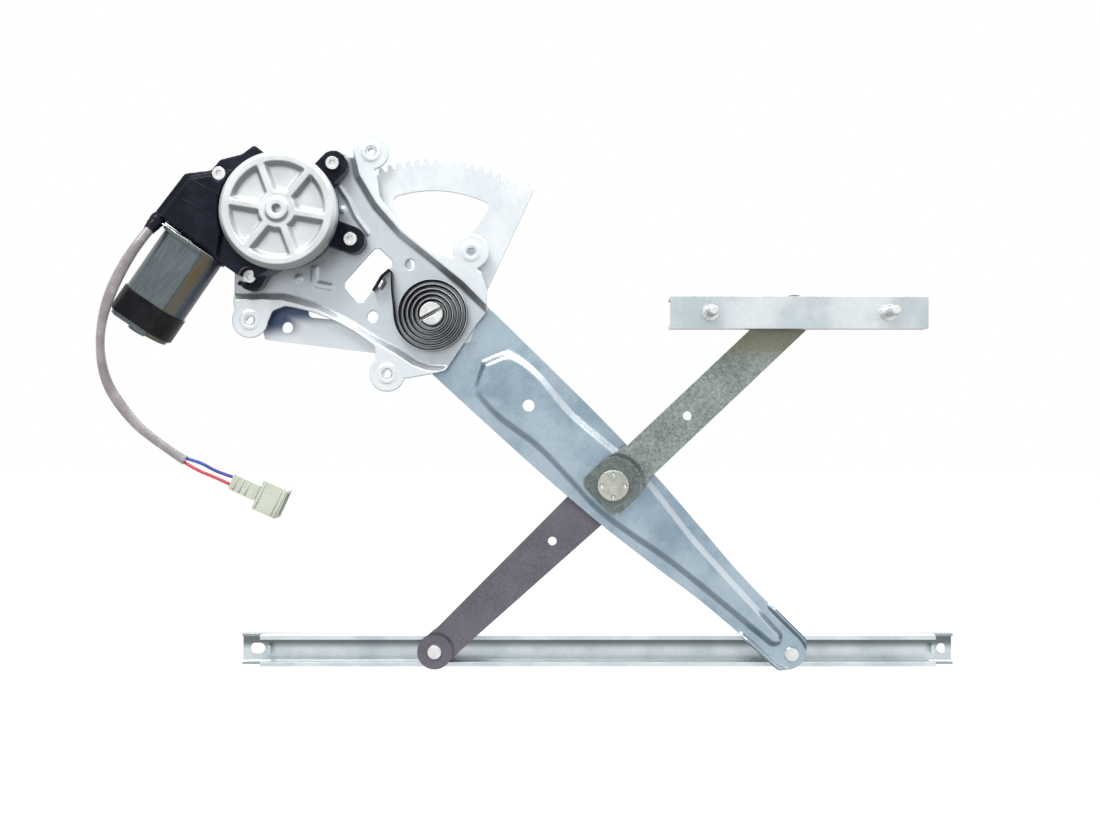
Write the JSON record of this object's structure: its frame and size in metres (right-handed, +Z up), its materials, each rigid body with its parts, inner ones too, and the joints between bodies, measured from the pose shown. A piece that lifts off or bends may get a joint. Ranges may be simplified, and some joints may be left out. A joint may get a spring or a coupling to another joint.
{
  "type": "window regulator",
  "caption": "Cross-arm window regulator with an electric gear motor, toothed sector, two crossing arms, roller channels and a spiral counterbalance spring.",
  "frame": {"origin": "centre of the base plate's lower fixing hole on the plane that seats against the door", "axes": "+X to the right along the channels, +Z up, front towards -Y, as it stands in the door"},
  "size_m": [0.5736, 0.0675, 0.3621],
  "materials": {
    "bright_zinc": "bright zinc plated sheet",
    "galvanised": "blue-grey galvanised sheet",
    "spangled_zinc": "coarse spangled galvanised sheet",
    "dull_zinc": "dull galvanised sheet",
    "channel_zinc": "galvanised roll-formed section",
    "plated_steel": "plated steel",
    "spring_steel": "black phosphated spring steel",
    "silver_cover": "satin silver",
    "black_housing": "moulded black plastic",
    "black_band": "black band",
    "grey_can": "plated steel can",
    "nylon": "natural nylon",
    "magnet": "ferrite",
    "armature_steel": "laminated steel with copper winding",
    "grey_sleeve": "grey sleeve",
    "blue_wire": "blue insulation",
    "red_wire": "red insulation",
    "ivory_plastic": "ivory moulding"
  },
  "bodies": {
    "base": {"base_plate": "bright_zinc", "weld_nuts": "plated_steel", "gear_housing": "black_housing", "gear_cover": "silver_cover", "housing_screws": "plated_steel", "motor_can": "grey_can", "can_band": "black_band", "magnets": "magnet", "brush_card": "black_housing", "counter_spring": "spring_steel", "lead_sleeve": "grey_sleeve", "blue_wire": "blue_wire", "red_wire": "red_wire", "connector_body": "ivory_plastic", "connector_head": "ivory_plastic"},
    "lift": {"pivot_shaft": "plated_steel", "sector_gear": "galvanised", "lift_arm": "galvanised", "sector_rivets": "plated_steel", "lift_pin": "plated_steel"},
    "pinion": {"output_pinion": "plated_steel", "worm_wheel": "nylon"},
    "armature_body": {"armature": "armature_steel"},
    "cross": {"upper_cross_arm": "spangled_zinc", "lower_cross_arm": "dull_zinc", "cross_pivot": "plated_steel", "pivot_washer": "nylon", "lower_pin": "plated_steel", "upper_pin": "plated_steel"},
    "lift_roller_body": {"lift_roller": "nylon"},
    "lower_roller_body": {"lower_roller": "nylon"},
    "upper_roller_body": {"upper_roller": "nylon"},
    "glass_channel_body": {"glass_channel": "channel_zinc"},
    "equalizer_body": {"equalizer_channel": "channel_zinc", "channel_studs": "plated_steel"}
  },
  "joints": [
    {"name": "lift_hinge", "type": "hinge", "parent": "base", "child": "lift", "pos_m": [0.0297, 0.005, 0.0398], "axis": [0, -1, 0], "range_deg": [0, 84], "deforming": ["counter_spring"]},
    {"name": "pinion_spin", "type": "hinge", "parent": "base", "child": "pinion", "pos_m": [-0.0666, 0.005, 0.1045], "axis": [0, -1, 0], "range_deg": [-729, 1]},
    {"name": "armature_spin", "type": "hinge", "parent": "base", "child": "armature_body", "pos_m": [-0.125, -0.0075, 0.0846], "axis": [-0.5664, 0, -0.8241], "continuous": true},
    {"name": "cross_hinge", "type": "hinge", "parent": "lift", "child": "cross", "pos_m": [0.15068, 0.01, -0.0746], "axis": [0, -1, 0], "range_deg": [-169, 1]},
    {"name": "lift_roller_turn", "type": "hinge", "parent": "lift", "child": "lift_roller_body", "pos_m": [0.27165, 0.03, -0.189], "axis": [0, -1, 0], "range_deg": [-85, 1]},
    {"name": "lower_roller_turn", "type": "hinge", "parent": "cross", "child": "lower_roller_body", "pos_m": [0.0297, 0.03, -0.189], "axis": [0, -1, 0], "range_deg": [-1, 85]},
    {"name": "upper_roller_turn", "type": "hinge", "parent": "cross", "child": "upper_roller_body", "pos_m": [0.27165, -0.005, 0.0398], "axis": [0, -1, 0], "range_deg": [-1, 85]},
    {"name": "glass_channel_slide", "type": "slide", "parent": "lower_roller_body", "child": "glass_channel_body", "axis": [1, 0, 0], "range_m": [0, 0.104]},
    {"name": "equalizer_slide", "type": "slide", "parent": "upper_roller_body", "child": "equalizer_body", "axis": [1, 0, 0], "range_m": [-0.07, 0.07]}
  ],
  "couplings": [
    {"joint": "pinion_spin", "follows": "lift_hinge", "ratio": -8.6667},
    {"joint": "cross_hinge", "follows": "lift_hinge", "ratio": -2},
    {"joint": "lift_roller_turn", "follows": "lift_hinge", "ratio": -1},
    {"joint": "lower_roller_turn", "follows": "lift_hinge", "ratio": 1},
    {"joint": "upper_roller_turn", "follows": "lift_hinge", "ratio": 1}
  ]
}
